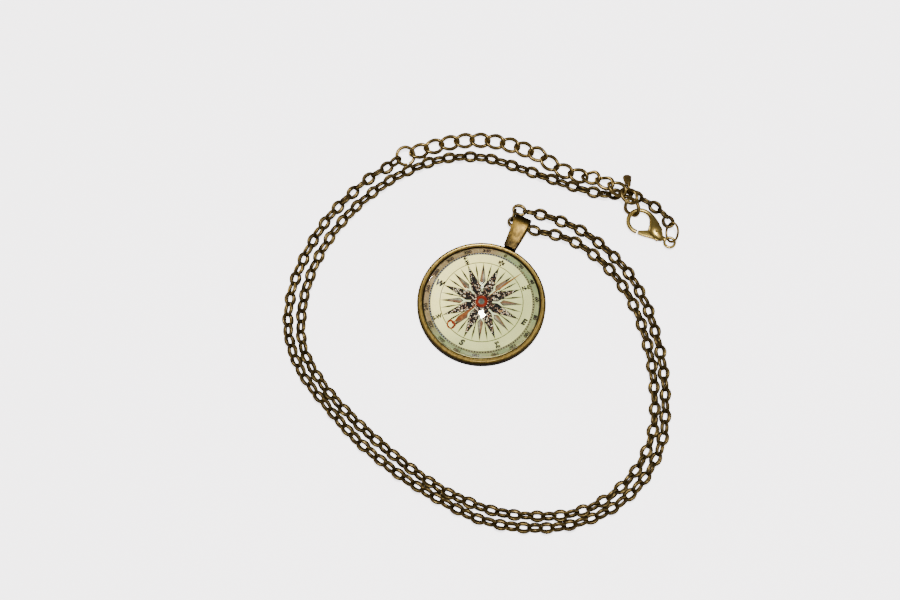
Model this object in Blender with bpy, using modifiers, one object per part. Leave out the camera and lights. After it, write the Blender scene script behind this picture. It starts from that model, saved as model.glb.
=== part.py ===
"""Compass-rose pendant on a folded cable-chain necklace, in metres, +Z up.

The necklace lies on a table at z = 0. The origin is the centre of the pendant's flat back, and +Y
points up the page when the pendant is looked at from the front.
"""

import bmesh
import bpy
from math import atan2, cos, hypot, pi, radians, sin
from mathutils import Matrix, Vector

MM = 0.001

# Driving dimensions, in millimetres.
TRAY_RADIUS = 14.0
TRAY_HEIGHT = 2.1
TRAY_FLOOR = 0.6
GLASS_RADIUS = 12.5
GLASS_TOP = 6.0
SEAT_GAP = 0.05
BAIL_ANGLE = 26.0
BAIL_REACH = 21.95
BAIL_STRAP = 0.55
BAIL_EYE_RADIUS = 1.45
CABLE_LINK_HALF_LENGTH = 1.46
CABLE_LINK_HALF_WIDTH = 1.06
CABLE_LINK_WIRE = 0.24
CORD_RADIUS = 0.95
CORD_POINTS = 40
CURB_LINK_HALF_LENGTH = 2.075
CURB_LINK_HALF_WIDTH = 1.43
CURB_LINK_TWIST = 0.45
CURB_LINK_WIRE = 0.275
OPEN_RING_RADIUS = 2.05
CLASP_RING_RADIUS = 2.1
CLASP_RING_WIRE = 0.25
CHARM_RING_RADIUS = 1.0
CHARM_RING_WIRE = 0.18
CHARM_THICKNESS = 0.4
CLASP_EYE = (41.5, 14.2, 1.2)
CLASP_HEADING = 143.1
CLASP_EYE_RADIUS = 1.14
CLASP_EYE_WIRE = 0.28
CLASP_FLATNESS = 0.86
CLASP_CROWN = 0.55  # the same above 0.8 mm, where the body is pressed flatter
HOOK_CENTRE = (8.0, -0.25)
HOOK_RADIUS = 2.68
HOOK_WIRE = 0.42
PIVOT = (3.6, 0.0)
PIN_RADIUS = 0.28
PIN_CLEARANCE = 0.05
LEVER_THICKNESS = 0.72
TURN_STEPS = 48

# The eye of the bail is centred on this line, given by its reach from the origin and its height.
EYE_REACH = BAIL_REACH - BAIL_STRAP - BAIL_EYE_RADIUS
EYE_HEIGHT = BAIL_EYE_RADIUS + BAIL_STRAP + 0.05

# The links that thread the bail: sideways and outward from the origin in the bail's own frame,
# height, then roll, pitch and heading in degrees.
BAIL_LINKS = {
    "bail_link_1": (3.15, 20.3, 1.6, 10, -12, 192),
    "bail_link_2": (0.8, 19.95, 2.05, 90, 0, 180),
    "bail_link_3": (-1.5, 19.95, 2.05, 0, 0, 180),
    "bail_link_4": (-2.45, 21.5, 1.8, 91, 13, 95),
    "bail_link_5": (-1.85, 23.25, 1.55, 16, 9, 9),
}

# The extender's links in world millimetres: x, y, z, then roll, pitch and heading in degrees.
EXTENDER_LINKS = (
    (-13.7, 36.3, 1.1, 10, 3, 23),
    (-10.4, 37.5, 1.0, 11, 0, 17),
    (-7.0, 38.4, 0.95, 11, -1, 11),
    (-3.6, 38.9, 0.95, 11, -1, 5),
    (-0.1, 39.0, 0.95, 11, -1, -4),
    (3.3, 38.6, 0.95, 12, -1, -11),
    (6.7, 37.75, 1.0, 14, -2, -20),
    (9.9, 36.55, 1.1, 22, -2, -26),
    (12.9, 35.1, 1.5, 33, -11, -23),
    (15.6, 33.1, 1.3, 25, 4, -32),
    (18.6, 31.4, 1.0, 11, 2, -22),
    (21.8, 30.3, 0.95, 6, 2, -17),
    (24.8, 29.7, 1.6, 0, -26, -25),
    (27.6, 28.1, 2.8, -9, -17, -34),
    (30.1, 26.3, 3.05, -4, 5, -29),
    (32.9, 24.6, 3.0, 7, -7, -48),
    (33.4, 22.1, 2.0, 19, 40, -60),
)

# Other single links and rings, in the same form.
STRAND_A_END_LINK = (-19.1, 33.6, 1.4, 74, 0, 36)
STRAND_B_END_LINK = (41.32, 18.89, 1.74, 12, -10, -64)
OPEN_RING = (-16.8, 35.0, 1.3, 27, 1, 29)
CLASP_RING = (42.04, 16.21, 2.16, -61, 5, 101)
CHARM_RING = (32.75, 26.67, 2.83, 90, 0, 90)
CHARM_DROOP = 30.0

# The route of each chain strand, in world millimetres, chosen by hand along the real fold.
STRAND_A_ROUTE = (
    (10.5, 21.4, 1.1), (14.0, 20.6, 1.0), (18.5, 18.9, 1.0), (22.7, 16.6, 1.0), (26.4, 13.6, 1.0),
    (29.8, 10.1, 1.0), (32.7, 6.2, 1.0), (34.8, 1.9, 1.0), (36.5, -2.6, 1.0), (38.5, -12.0, 1.0),
    (39.0, -21.7, 1.0), (37.8, -31.2, 1.0), (33.3, -39.6, 1.0), (25.9, -45.8, 1.0), (16.8, -49.0, 1.0),
    (7.2, -49.2, 1.0), (0.1, -47.8, 1.0), (-4.2, -46.0, 1.0), (-8.3, -43.8, 1.0), (-12.9, -41.1, 1.0),
    (-19.0, -36.9, 1.0), (-26.4, -30.6, 1.0), (-32.7, -23.5, 1.0), (-38.5, -15.8, 1.0),
    (-41.7, -6.8, 1.0), (-41.3, 2.7, 1.0), (-38.3, 11.8, 1.0), (-33.6, 20.2, 1.0), (-27.2, 27.4, 1.0),
    (-23.6, 30.5, 1.0), (-20.9, 32.2, 1.0),
)
STRAND_B_ROUTE = (
    (13.8, 16.5, 1.0), (16.3, 16.1, 1.0), (20.8, 14.2, 1.0), (24.6, 11.4, 1.0), (28.0, 8.0, 1.0),
    (30.7, 4.2, 1.0), (32.9, -0.1, 1.0), (34.5, -4.6, 1.0), (36.1, -11.6, 1.0), (36.7, -19.0, 1.0),
    (36.1, -28.5, 1.0), (32.2, -37.1, 1.0), (25.3, -43.6, 1.1), (17.2, -46.7, 1.3), (7.7, -46.8, 1.3),
    (1.0, -45.6, 1.6), (-4.1, -43.7, 2.0), (-8.3, -41.6, 1.9), (-13.7, -37.9, 1.4), (-20.9, -32.0, 1.0),
    (-27.9, -25.4, 1.0), (-34.2, -18.1, 1.0), (-38.5, -9.8, 1.0), (-38.8, -0.2, 1.0), (-36.4, 9.0, 1.0),
    (-31.9, 17.5, 1.0), (-25.6, 24.7, 1.0), (-17.9, 30.5, 1.0), (-9.1, 34.1, 1.0), (0.4, 34.6, 1.0),
    (9.6, 31.7, 1.0), (18.5, 28.3, 1.0), (23.0, 26.8, 1.0), (27.8, 25.7, 1.0), (32.8, 25.7, 1.0),
    (36.9, 23.9, 1.0), (38.9, 22.4, 1.0), (40.3, 21.2, 1.0),
)

# Colours, roughness and metallic value of each finish.
FINISHES = {
    "antique_bronze": ((0.20, 0.14, 0.065), 0.38, 1.0),
    "dark_bronze": ((0.12, 0.085, 0.045), 0.42, 1.0),
    "antique_brass": ((0.42, 0.30, 0.12), 0.30, 1.0),
    "spring_steel": ((0.50, 0.50, 0.50), 0.35, 1.0),
    "clear_glass": ((0.95, 0.97, 0.95), 0.03, 0.0),
    "printed_paper": ((0.80, 0.80, 0.60), 0.60, 0.0),
    "clear_glue": ((0.90, 0.90, 0.85), 0.20, 0.0),
}


def clear_scene():
    for obj in list(bpy.data.objects):
        bpy.data.objects.remove(obj, do_unlink=True)


def new_collection(name):
    collection = bpy.data.collections.new(name)
    bpy.context.scene.collection.children.link(collection)
    return collection


def add_object(name, data, collection):
    obj = bpy.data.objects.new(name, data)
    collection.objects.link(obj)
    return obj


def give_finish(obj, finish):
    """Give one sub-part a Principled material of its own."""
    colour, roughness, metallic = FINISHES[finish]
    material = bpy.data.materials.new(obj.name + "_" + finish)
    material.use_nodes = True
    shader = material.node_tree.nodes["Principled BSDF"]
    shader.inputs["Base Color"].default_value = (*colour, 1.0)
    shader.inputs["Roughness"].default_value = roughness
    shader.inputs["Metallic"].default_value = metallic
    material.diffuse_color = (*colour, 1.0)
    obj.data.materials.append(material)


def place(obj, pose):
    """Put an object at a pose of x, y, z in millimetres and roll, pitch, heading in degrees."""
    obj.location = Vector(pose[:3]) * MM
    obj.rotation_euler = [radians(angle) for angle in pose[3:]]


def bail_point(sideways, outward):
    """World x and y of a point given across and along the bail."""
    turn = radians(BAIL_ANGLE)
    x = outward * sin(turn) + sideways * cos(turn)
    y = outward * cos(turn) - sideways * sin(turn)
    return x, y


def polygon_curve(name, points, collection, radius=0.0, sides=2, closed=False):
    """A straight-segment 3D curve through points in millimetres, with a round section if asked."""
    data = bpy.data.curves.new(name, "CURVE")
    data.dimensions = "3D"
    spline = data.splines.new("POLY")
    spline.points.add(len(points) - 1)
    for point, place_mm in zip(spline.points, points):
        point.co = (*(Vector(place_mm) * MM), 1.0)
    spline.use_cyclic_u = closed
    data.bevel_depth = radius * MM
    data.bevel_resolution = sides
    data.use_fill_caps = not closed
    return add_object(name, data, collection)


def flat_outline(name, outlines, thickness, collection):
    """A flat plate whose first outline is its edge and whose others are holes, in millimetres."""
    data = bpy.data.curves.new(name, "CURVE")
    data.dimensions = "2D"
    data.fill_mode = "BOTH"
    data.extrude = thickness * MM / 2
    for outline in outlines:
        spline = data.splines.new("POLY")
        spline.points.add(len(outline) - 1)
        for point, (x, y) in zip(spline.points, outline):
            point.co = (x * MM, y * MM, 0.0, 1.0)
        spline.use_cyclic_u = True
    return add_object(name, data, collection)


def arc(centre, radius, start, end, count):
    """Points on an arc in millimetres, from one angle to another in degrees, both included."""
    angles = [radians(start + (end - start) * step / (count - 1)) for step in range(count)]
    return [(centre[0] + radius * cos(angle), centre[1] + radius * sin(angle)) for angle in angles]


def as_mesh(obj, collection):
    """Turn a curve object into a mesh object with its caps welded, and remove the curve."""
    bpy.context.view_layer.update()
    graph = bpy.context.evaluated_depsgraph_get()
    mesh = bpy.data.meshes.new_from_object(obj.evaluated_get(graph))
    shape = bmesh.new()
    shape.from_mesh(mesh)
    bmesh.ops.remove_doubles(shape, verts=shape.verts, dist=1e-7)
    bmesh.ops.recalc_face_normals(shape, faces=shape.faces)
    shape.to_mesh(mesh)
    shape.free()
    name = obj.name
    matrix = obj.matrix_world.copy()
    bpy.data.objects.remove(obj, do_unlink=True)
    solid = add_object(name, mesh, collection)
    solid.matrix_world = matrix
    return solid


def turned(name, profile, collection):
    """A turned solid from a half profile in millimetres that runs from the axis, top to bottom."""
    mesh = bpy.data.meshes.new(name)
    points = [(radius * MM, 0.0, height * MM) for radius, height in profile]
    edges = [(index, index + 1) for index in range(len(points) - 1)]
    mesh.from_pydata(points, edges, [])
    obj = add_object(name, mesh, collection)
    screw = obj.modifiers.new("Turn", "SCREW")
    screw.axis = "Z"
    screw.steps = TURN_STEPS
    screw.render_steps = TURN_STEPS
    screw.use_merge_vertices = True
    screw.merge_threshold = 1e-6
    screw.use_smooth_shade = True
    return obj


def cylinder(name, radius, bottom, top, collection, centre=(0.0, 0.0), sides=24):
    mesh = bpy.data.meshes.new(name)
    shape = bmesh.new()
    middle = Matrix.Translation(Vector((centre[0], centre[1], (bottom + top) / 2)) * MM)
    bmesh.ops.create_cone(shape, cap_ends=True, segments=sides, radius1=radius * MM,
                          radius2=radius * MM, depth=(top - bottom) * MM, matrix=middle)
    shape.to_mesh(mesh)
    shape.free()
    return add_object(name, mesh, collection)


def box(name, low, high, collection):
    mesh = bpy.data.meshes.new(name)
    shape = bmesh.new()
    bmesh.ops.create_cube(shape, size=1.0)
    low, high = Vector(low) * MM, Vector(high) * MM
    for vertex in shape.verts:
        vertex.co = (low + high) / 2 + Vector(a * b for a, b in zip(vertex.co, high - low))
    shape.to_mesh(mesh)
    shape.free()
    return add_object(name, mesh, collection)


def boolean(target, tool, operation):
    modifier = target.modifiers.new(operation.title(), "BOOLEAN")
    modifier.operation = operation
    modifier.object = tool
    tool.hide_render = True
    tool.display_type = "WIRE"


def smooth_route(route, count):
    """Evenly spaced points on a smooth curve through the route's own points."""
    points = [Vector(point) for point in route]
    points = [2 * points[0] - points[1], *points, 2 * points[-1] - points[-2]]
    fine = []
    for before, start, end, after in zip(points, points[1:], points[2:], points[3:]):
        for step in range(20):
            t = step / 20
            fine.append(0.5 * (2 * start + (end - before) * t
                               + (2 * before - 5 * start + 4 * end - after) * t * t
                               + (3 * start - before - 3 * end + after) * t ** 3))
    fine.append(points[-2])
    lengths = [0.0]
    for start, end in zip(fine, fine[1:]):
        lengths.append(lengths[-1] + (end - start).length)
    spaced = []
    index = 0
    for step in range(count):
        wanted = lengths[-1] * step / (count - 1)
        while index < len(fine) - 2 and lengths[index + 1] < wanted:
            index += 1
        share = (wanted - lengths[index]) / (lengths[index + 1] - lengths[index])
        spaced.append(fine[index].lerp(fine[index + 1], share))
    return spaced


def cable_link_outline(count=16):
    """One oval link of the main chain, flat in its own XY plane."""
    angles = [2 * pi * step / count for step in range(count)]
    return [(CABLE_LINK_HALF_LENGTH * cos(a), CABLE_LINK_HALF_WIDTH * sin(a), 0.0) for a in angles]


def curb_link_outline(count=16):
    """One twisted link of the extender: an oval whose corners rise and fall in turn."""
    angles = [2 * pi * step / count for step in range(count)]
    return [(CURB_LINK_HALF_LENGTH * cos(a), CURB_LINK_HALF_WIDTH * sin(a),
             CURB_LINK_TWIST * sin(2 * a)) for a in angles]


def ring_outline(radius, count=24):
    angles = [2 * pi * step / count for step in range(count)]
    return [(radius * cos(a), radius * sin(a), 0.0) for a in angles]


def open_ring_outline(radius, cut_angle, opening, count=24):
    """A ring with a narrow cut, as a jump ring is bent open and shut."""
    angles = [radians(cut_angle + opening / 2 + (360 - opening) * step / (count - 1))
              for step in range(count)]
    return [(radius * cos(a), radius * sin(a), 0.0) for a in angles]


def make_tray(parts):
    """The cast cup: a flat floor, a low wall and a rim with a rounded edge."""
    seat = GLASS_RADIUS + SEAT_GAP + 0.1
    profile = [
        (0.0, TRAY_FLOOR),
        (seat, TRAY_FLOOR),
        (seat, TRAY_HEIGHT - 0.35),
        (seat + 0.15, TRAY_HEIGHT - 0.1),
        (seat + 0.5, TRAY_HEIGHT),
        (TRAY_RADIUS - 0.45, TRAY_HEIGHT),
        (TRAY_RADIUS - 0.15, TRAY_HEIGHT - 0.15),
        (TRAY_RADIUS, TRAY_HEIGHT - 0.5),
        (TRAY_RADIUS, 0.3),
        (TRAY_RADIUS - 0.3, 0.0),
        (0.0, 0.0),
    ]
    tray = turned("tray", profile, parts)
    give_finish(tray, "antique_bronze")


def make_dial_stack(parts):
    """The adhesive disc, the paper dial and the clear glue film under the glass."""
    height = TRAY_FLOOR
    layers = (("dial_adhesive", 0.06, 12.2, "clear_glue"),
              ("dial", 0.16, GLASS_RADIUS, "printed_paper"),
              ("glue_film", 0.06, 12.2, "clear_glue"))
    for name, thickness, radius, finish in layers:
        height += SEAT_GAP
        disc = cylinder(name, radius, height, height + thickness, parts, sides=TURN_STEPS)
        give_finish(disc, finish)
        height += thickness
    return height + SEAT_GAP


def make_cabochon(base, parts):
    """A plano-convex glass: a spherical dome on a short rounded girdle."""
    girdle = TRAY_HEIGHT - 0.1
    rise = GLASS_TOP - girdle
    edge = GLASS_RADIUS - 0.1
    sphere = (edge ** 2 + rise ** 2) / (2 * rise)
    profile = []
    for step in range(11):
        radius = edge * step / 10
        profile.append((radius, GLASS_TOP - sphere + (sphere ** 2 - radius ** 2) ** 0.5))
    profile += [(GLASS_RADIUS, girdle - 0.15), (GLASS_RADIUS, base + 0.2),
                (GLASS_RADIUS - 0.2, base), (0.0, base)]
    glass = turned("glass_cabochon", profile, parts)
    give_finish(glass, "clear_glass")


def make_bail(parts, cutters):
    """A strap folded over into a loop, wider at the fold, cut to sit against the tray's wall."""
    outer = BAIL_EYE_RADIUS + BAIL_STRAP
    eye = (EYE_REACH, EYE_HEIGHT)
    root = TRAY_RADIUS - 2.0
    front_drop = 12.0
    start = 90.0 + front_drop
    loop_out = arc(eye, outer, start, -90.0, 13)
    loop_in = arc(eye, BAIL_EYE_RADIUS, -90.0, start, 13)
    slope = sin(radians(front_drop)) / cos(radians(front_drop))
    run_out = loop_out[0][0] - root
    run_in = loop_in[-1][0] - root
    edge = [(root, loop_out[0][1] - slope * run_out), *loop_out, (root, loop_out[-1][1])]
    hole = [(root, loop_in[0][1]), *loop_in, (root, loop_in[-1][1] - slope * run_in)]
    strap = flat_outline("bail", [edge + hole], 3.6, parts)
    strap = as_mesh(strap, parts)
    turn = radians(BAIL_ANGLE)
    along = Vector((sin(turn), cos(turn), 0.0))
    across = Vector((cos(turn), -sin(turn), 0.0))
    tray_edge = TRAY_RADIUS * MM
    for vertex in strap.data.vertices:
        reach, height, side = vertex.co
        spread = 0.72 + 0.24 * min(1.0, (reach - tray_edge) / (5.5 * MM))
        vertex.co = along * reach + across * side * spread + Vector((0.0, 0.0, height))
    shape = bmesh.new()
    shape.from_mesh(strap.data)
    bmesh.ops.recalc_face_normals(shape, faces=shape.faces)
    shape.to_mesh(strap.data)
    shape.free()
    wall = cylinder("tray_wall_cutter", TRAY_RADIUS + SEAT_GAP, -1.0, 6.0, cutters, sides=96)
    boolean(strap, wall, "DIFFERENCE")
    give_finish(strap, "antique_bronze")


def make_cable_link(name, pose, parts):
    link = polygon_curve(name, cable_link_outline(), parts, CABLE_LINK_WIRE, 2, closed=True)
    place(link, pose)
    give_finish(link, "dark_bronze")


def make_bail_links(parts):
    for name, (sideways, outward, height, roll, pitch, heading) in BAIL_LINKS.items():
        x, y = bail_point(sideways, outward)
        make_cable_link(name, (x, y, height, roll, pitch, heading - BAIL_ANGLE), parts)


def make_strands(parts):
    """Each strand of the main chain as a plain tube along its route."""
    for name, route in (("strand_a", STRAND_A_ROUTE), ("strand_b", STRAND_B_ROUTE)):
        strand = polygon_curve(name, smooth_route(route, CORD_POINTS), parts, CORD_RADIUS, 2)
        give_finish(strand, "dark_bronze")


def make_extender(parts):
    for number, pose in enumerate(EXTENDER_LINKS, 1):
        name = "extender_link_%02d" % number
        link = polygon_curve(name, curb_link_outline(), parts, CURB_LINK_WIRE, 1, closed=True)
        place(link, pose)
        give_finish(link, "antique_bronze")


def make_rings(parts):
    """The open ring at the extender, the ring at the clasp and the small one that holds the charm."""
    open_ring = polygon_curve("open_jump_ring", open_ring_outline(OPEN_RING_RADIUS, 262, 14), parts,
                              CURB_LINK_WIRE, 1)
    place(open_ring, OPEN_RING)
    clasp_ring = polygon_curve("clasp_jump_ring", open_ring_outline(CLASP_RING_RADIUS, 215, 6),
                               parts, CLASP_RING_WIRE, 1)
    place(clasp_ring, CLASP_RING)
    charm_ring = polygon_curve("charm_ring", ring_outline(CHARM_RING_RADIUS, 16), parts,
                               CHARM_RING_WIRE, 1, closed=True)
    place(charm_ring, CHARM_RING)
    for ring in (open_ring, clasp_ring, charm_ring):
        give_finish(ring, "antique_bronze")


def make_charm(parts):
    """A flat drop that hangs from its ring by a hole near the narrow end."""
    narrow = arc((0.0, 0.0), 0.62, 100, 260, 9)
    wide = arc((2.55, 0.0), 1.0, -80, 80, 11)
    hole = arc((0.0, 0.0), 0.38, 0, 330, 12)
    charm = flat_outline("charm", [narrow + wide, hole], CHARM_THICKNESS, parts)
    droop = radians(CHARM_DROOP)
    x, y, z = CHARM_RING[:3]
    eye = (x, y + CHARM_RING_RADIUS * cos(droop), z - CHARM_RING_RADIUS * sin(droop))
    place(charm, (*eye, 0.0, CHARM_DROOP, 90.0))
    give_finish(charm, "antique_bronze")


def clasp_spine():
    """The centre line of the clasp's body and hook with its radius, from the eye to the hook's tip."""
    body = [(0.95, 0.0, 0.45), (1.6, 0.07, 0.52), (2.23, 0.2, 0.95), (3.3, 0.05, 1.45), (4.24, -0.5, 1.62),
            (5.12, -1.5, 1.2), (5.95, -2.22, 0.82), (6.8, -2.7, 0.56), (7.4, -2.87, 0.47)]
    hook = [(x, y, HOOK_WIRE) for x, y in arc(HOOK_CENTRE, HOOK_RADIUS, -83, 105, 17)]
    return body + hook


def make_clasp_body(parts, cutters):
    """The hook and body in one casting, with an eye, a slot for the lever and a hole for its pin."""
    spine = clasp_spine()
    curve = polygon_curve("clasp_body", [(x, y, 0.0) for x, y, _ in spine], parts, 1.0, 3)
    for point, (_, _, radius) in zip(curve.data.splines[0].points, spine):
        point.radius = radius
    body = as_mesh(curve, parts)
    eye = as_mesh(polygon_curve("clasp_eye", ring_outline(CLASP_EYE_RADIUS), cutters, CLASP_EYE_WIRE, 2,
                                closed=True), cutters)
    slot = box("lever_slot", (1.85, -1.1, -0.42), (6.35, 2.2, 0.42), cutters)
    bore = cylinder("pin_bore", PIN_RADIUS + PIN_CLEARANCE, -1.6, 1.6, cutters, PIVOT)
    for vertex in body.data.vertices:
        height = abs(vertex.co.z)
        flattened = CLASP_FLATNESS * min(height, 0.8 * MM) + CLASP_CROWN * max(0.0, height - 0.8 * MM)
        vertex.co.z = flattened if vertex.co.z > 0 else -flattened
    boolean(body, eye, "UNION")
    boolean(body, slot, "DIFFERENCE")
    boolean(body, bore, "DIFFERENCE")
    for obj in (body, eye, slot, bore):
        place(obj, (*CLASP_EYE, 0, 0, CLASP_HEADING))
    give_finish(body, "antique_brass")


def make_lever(parts, cutters):
    """The sprung gate: it meets the hook's tip and turns on the pin."""
    gate = [(7.12, 1.95), (6.85, 2.55), (5.6, 2.25), (4.3, 1.75), (3.2, 1.4), (2.45, 1.4), (2.3, 1.05)]
    hub = arc(PIVOT, 0.62, 165, 300, 8)
    rest = [(4.6, -0.15), (5.3, 0.45), (6.3, 1.3)]
    plate = flat_outline("clasp_lever", [gate + hub + rest], LEVER_THICKNESS, parts)
    lever = as_mesh(plate, parts)
    bore = cylinder("lever_bore", PIN_RADIUS + PIN_CLEARANCE, -1.0, 1.0, cutters, PIVOT)
    pocket = cylinder("spring_pocket", 0.52, 0.05, 1.0, cutters, PIVOT)
    boolean(lever, bore, "DIFFERENCE")
    boolean(lever, pocket, "DIFFERENCE")
    for obj in (lever, bore, pocket):
        place(obj, (*CLASP_EYE, 0, 0, CLASP_HEADING))
    give_finish(lever, "antique_brass")


def make_pin_and_spring(parts):
    pin = cylinder("lever_pin", PIN_RADIUS, -0.95, 0.95, parts, PIVOT, 16)
    place(pin, (*CLASP_EYE, 0, 0, CLASP_HEADING))
    give_finish(pin, "antique_brass")
    turns, steps, wire = 2, 12, 0.04
    coil = []
    for step in range(turns * steps + 1):
        angle = 2 * pi * step / steps
        coil.append((PIVOT[0] + 0.41 * cos(angle), PIVOT[1] + 0.41 * sin(angle),
                     0.12 + 0.2 * step / (turns * steps)))
    spring = polygon_curve("lever_spring", coil, parts, wire, 1)
    place(spring, (*CLASP_EYE, 0, 0, CLASP_HEADING))
    give_finish(spring, "spring_steel")


def main():
    clear_scene()
    parts = new_collection("compass_pendant_necklace")
    cutters = new_collection("cutters")
    make_tray(parts)
    make_cabochon(make_dial_stack(parts), parts)
    make_bail(parts, cutters)
    make_bail_links(parts)
    make_strands(parts)
    make_cable_link("strand_a_end_link", STRAND_A_END_LINK, parts)
    make_cable_link("strand_b_end_link", STRAND_B_END_LINK, parts)
    make_extender(parts)
    make_rings(parts)
    make_charm(parts)
    make_clasp_body(parts, cutters)
    make_lever(parts, cutters)
    make_pin_and_spring(parts)


main()
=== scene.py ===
from math import atan2, cos, hypot, pi, radians, sin

import bmesh
import bpy
import numpy as np
from mathutils import Euler, Matrix, Vector


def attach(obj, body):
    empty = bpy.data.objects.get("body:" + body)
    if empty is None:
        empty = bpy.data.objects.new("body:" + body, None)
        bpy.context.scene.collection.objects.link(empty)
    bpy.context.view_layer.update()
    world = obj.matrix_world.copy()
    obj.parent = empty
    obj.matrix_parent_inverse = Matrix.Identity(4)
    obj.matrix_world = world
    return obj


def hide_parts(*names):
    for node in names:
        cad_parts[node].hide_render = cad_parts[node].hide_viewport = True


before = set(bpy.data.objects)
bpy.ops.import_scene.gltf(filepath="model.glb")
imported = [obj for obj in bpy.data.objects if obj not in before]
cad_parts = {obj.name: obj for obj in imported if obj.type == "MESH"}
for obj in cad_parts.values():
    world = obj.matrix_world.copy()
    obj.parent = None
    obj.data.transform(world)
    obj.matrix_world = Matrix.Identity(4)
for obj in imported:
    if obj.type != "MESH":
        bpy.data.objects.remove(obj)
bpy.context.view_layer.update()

mm = 0.001


# Everyday moves

def clearSelection():
    if bpy.context.object and bpy.context.object.mode != "OBJECT":
        bpy.ops.object.mode_set(mode="OBJECT")
    bpy.ops.object.select_all(action="DESELECT")


def makeActive(piece):
    clearSelection()
    piece.select_set(True)
    bpy.context.view_layer.objects.active = piece


def startEdit(piece, mode="VERT"):
    makeActive(piece)
    bpy.ops.object.mode_set(mode="EDIT")
    bpy.ops.mesh.select_mode(type=mode)
    bpy.ops.mesh.select_all(action="DESELECT")


def endEdit():
    bpy.ops.object.mode_set(mode="OBJECT")


def pickVerts(piece, wanted):  # wanted gets each vertex's place in millimetres
    mesh = bmesh.from_edit_mesh(piece.data)
    for vert in mesh.verts:
        vert.select = bool(wanted(vert.co / mm))
    mesh.select_flush_mode()
    bmesh.update_edit_mesh(piece.data)


def pickFaces(piece, wanted):  # wanted gets each face's middle in millimetres and its normal
    mesh = bmesh.from_edit_mesh(piece.data)
    for face in mesh.faces:
        face.select = bool(wanted(face.calc_center_median() / mm, face.normal))
    mesh.select_flush_mode()
    bmesh.update_edit_mesh(piece.data)


def applyModifiers(piece):
    makeActive(piece)
    for modifier in list(piece.modifiers):
        bpy.ops.object.modifier_apply(modifier=modifier.name)


def applyPlace(piece):
    makeActive(piece)
    bpy.ops.object.transform_apply(location=True, rotation=True, scale=True)


def copyAt(source, matrix):
    piece = source.copy()
    piece.data = source.data.copy()
    bpy.context.collection.objects.link(piece)
    piece.data.transform(matrix)
    return piece


def joinPieces(pieces):
    clearSelection()
    for piece in pieces:
        piece.select_set(True)
    bpy.context.view_layer.objects.active = pieces[0]
    bpy.ops.object.join()
    return bpy.context.object


def toMesh(piece):
    makeActive(piece)
    bpy.ops.object.convert(target="MESH")
    return bpy.context.object


def deletePiece(piece):
    bpy.data.objects.remove(piece, do_unlink=True)


def finishPiece(piece, name, body, material, nodes=(), angle=40):
    applyPlace(piece)
    lowest = min(vert.co.z for vert in piece.data.vertices)
    if lowest < 0:  # fuller wires are lifted clear of the table
        piece.data.transform(Matrix.Translation((0, 0, -lowest)))
    piece.name = piece.data.name = name
    bpy.ops.object.shade_smooth_by_angle(angle=radians(angle))
    piece.data.materials.clear()
    piece.data.materials.append(material)
    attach(piece, body)
    if nodes:
        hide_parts(*nodes)
    return piece


def poseMatrix(x, y, z, roll, pitch, heading):
    turn = Euler([radians(roll), radians(pitch), radians(heading)]).to_matrix().to_4x4()
    return Matrix.Translation(Vector((x, y, z)) * mm) @ turn


def linkMatrix(node):
    # a link's long way, broad way and thin way, read from the plain link that it replaces
    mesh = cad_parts[node].data
    places = np.empty(len(mesh.vertices) * 3)
    mesh.vertices.foreach_get("co", places)
    places = np.unique(np.round(places.reshape(-1, 3), 7), axis=0)
    middle = (places.min(axis=0) + places.max(axis=0)) / 2
    ways = np.linalg.eigh(np.cov((places - middle).T))[1]
    long, broad = Vector(ways[:, 2]), Vector(ways[:, 1])
    turn = Matrix((long, broad, long.cross(broad))).transposed().to_4x4()
    return Matrix.Translation(Vector(middle)) @ turn


# Camera, looking down at the table from the front

camera = {"lens": 66.0, "aim": (-6.83, 1.19, 0.0), "tilt": 19.5, "distance": 360.0}


def placeCamera():
    data = bpy.data.cameras.new("camera")
    data.lens, data.sensor_width = camera["lens"], 36.0
    data.clip_start, data.clip_end = 0.01, 20.0
    viewer = bpy.data.objects.new("camera", data)
    bpy.context.scene.collection.objects.link(viewer)
    tilt = radians(camera["tilt"])
    back = Vector((0.0, -sin(tilt), cos(tilt))) * camera["distance"]
    viewer.location = (Vector(camera["aim"]) + back) * mm
    viewer.rotation_euler = (tilt, 0.0, 0.0)
    bpy.context.scene.camera = viewer


placeCamera()
print("camera placed")


# Finishes. The groups hold what several metals share: a mottled plating and fine brushing.

def newGroup(name, inputs, outputs):
    group = bpy.data.node_groups.new(name, "ShaderNodeTree")
    for kind, entries in (("INPUT", inputs), ("OUTPUT", outputs)):
        for label, socketType, value in entries:
            socket = group.interface.new_socket(name=label, in_out=kind, socket_type=socketType)
            if value is not None:
                socket.default_value = value
    return group, group.nodes.new("NodeGroupInput"), group.nodes.new("NodeGroupOutput")


def addNode(tree, kind, settings=None, **values):
    node = tree.nodes.new(kind)
    for key, value in (settings or {}).items():
        setattr(node, key, value)
    for key, value in values.items():
        label = key.replace("_", " ")
        socket = node.inputs[int(key[1:])] if key[0] == "s" and key[1:].isdigit() else node.inputs[label]
        if isinstance(value, bpy.types.NodeSocket):
            tree.links.new(value, socket)
        else:
            socket.default_value = value
    return node


def mathNode(tree, operation, a, b=0.0):
    return addNode(tree, "ShaderNodeMath", {"operation": operation}, s0=a, s1=b).outputs[0]


def mixColour(tree, factor, a, b, blend="MIX"):
    node = addNode(tree, "ShaderNodeMix", {"data_type": "RGBA", "blend_type": blend}, s0=factor, s6=a, s7=b)
    return node.outputs[2]


def rampNode(tree, value, low, high, fromValue=0.0, toValue=1.0):
    node = addNode(tree, "ShaderNodeMapRange", {"interpolation_type": "SMOOTHSTEP"}, Value=value,
                   From_Min=low, From_Max=high, To_Min=fromValue, To_Max=toValue)
    return node.outputs[0]


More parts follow.
